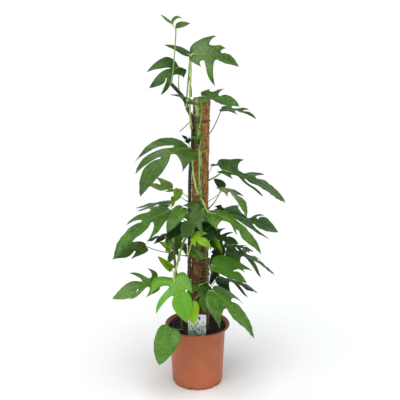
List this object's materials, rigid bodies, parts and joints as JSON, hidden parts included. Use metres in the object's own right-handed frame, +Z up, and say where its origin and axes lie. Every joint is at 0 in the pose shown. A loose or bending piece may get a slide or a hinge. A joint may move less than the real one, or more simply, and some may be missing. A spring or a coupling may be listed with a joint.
{
  "type": "potted monstera plant",
  "caption": "Mini monstera with split leaves climbing a coir pole in a round plastic nursery pot, with soil and a blank plant card; stands on a floor.",
  "frame": {"origin": "centre of the pot's underside, on the surface that the pot stands on", "axes": "+Z up along the pot's axis, -Y towards the side of the plant that carries the card and most leaves, +X to the right seen from there"},
  "size_m": [0.6905, 0.4591, 1.5102],
  "materials": {
    "pot": "satin",
    "soil": "matte",
    "coir": "matte",
    "pole_core": "matte",
    "card": "satin",
    "tie_wire": "satin",
    "stem_dark": "satin",
    "stem_light": "satin",
    "stem_dry": "matte",
    "leaf_deep": "satin",
    "leaf_dark": "satin",
    "leaf_mid": "satin",
    "leaf_light": "satin",
    "leaf_pale": "satin",
    "leaf_lime": "satin"
  },
  "bodies": {
    "root": {"coir_wrap": "coir", "leaf_arching": "leaf_pale", "leaf_back_bottom": "leaf_deep", "leaf_back_low": "leaf_deep", "leaf_back_middle": "leaf_deep", "leaf_behind": "leaf_dark", "leaf_big_left": "leaf_light", "leaf_big_right": "leaf_dark", "leaf_bottom_left": "leaf_mid", "leaf_centre": "leaf_mid", "leaf_centre_left": "leaf_light", "leaf_crown_left": "leaf_dark", "leaf_crown_right": "leaf_mid", "leaf_curl": "leaf_light", "leaf_dark_left": "leaf_deep", "leaf_dark_right": "leaf_deep", "leaf_fan_right": "leaf_dark", "leaf_front_centre": "leaf_mid", "leaf_front_left": "leaf_light", "leaf_front_lime": "leaf_lime", "leaf_front_right": "leaf_light", "leaf_heart": "leaf_light", "leaf_hidden_right": "leaf_deep", "leaf_inner_left": "leaf_mid", "leaf_inner_right": "leaf_deep", "leaf_light_left": "leaf_light", "leaf_light_right": "leaf_mid", "leaf_lime_front": "leaf_lime", "leaf_lime_left": "leaf_lime", "leaf_lime_lower": "leaf_lime", "leaf_lime_right": "leaf_lime", "leaf_low_left": "leaf_mid", "leaf_low_right": "leaf_deep", "leaf_middle_right": "leaf_dark", "leaf_pale_lower": "leaf_pale", "leaf_pale_upper": "leaf_pale", "leaf_slim_back_left": "leaf_dark", "leaf_slim_left": "leaf_dark", "leaf_slim_right": "leaf_dark", "leaf_top": "leaf_pale", "leaf_tuck": "leaf_deep", "leaf_twist": "leaf_lime", "leaf_under": "leaf_pale", "leaf_under_centre": "leaf_deep", "leaf_upper_left": "leaf_dark", "leaf_upper_right": "leaf_light", "plant_card": "card", "pole_core": "pole_core", "pot": "pot", "soil": "soil", "stem_back": "stem_dark", "stem_dry": "stem_dry", "stem_front": "stem_light", "stem_left": "stem_dark", "stem_right": "stem_dark", "stem_shoot": "stem_light", "tie_bottom": "tie_wire", "tie_middle": "tie_wire", "tie_top": "tie_wire"}
  },
  "joints": []
}
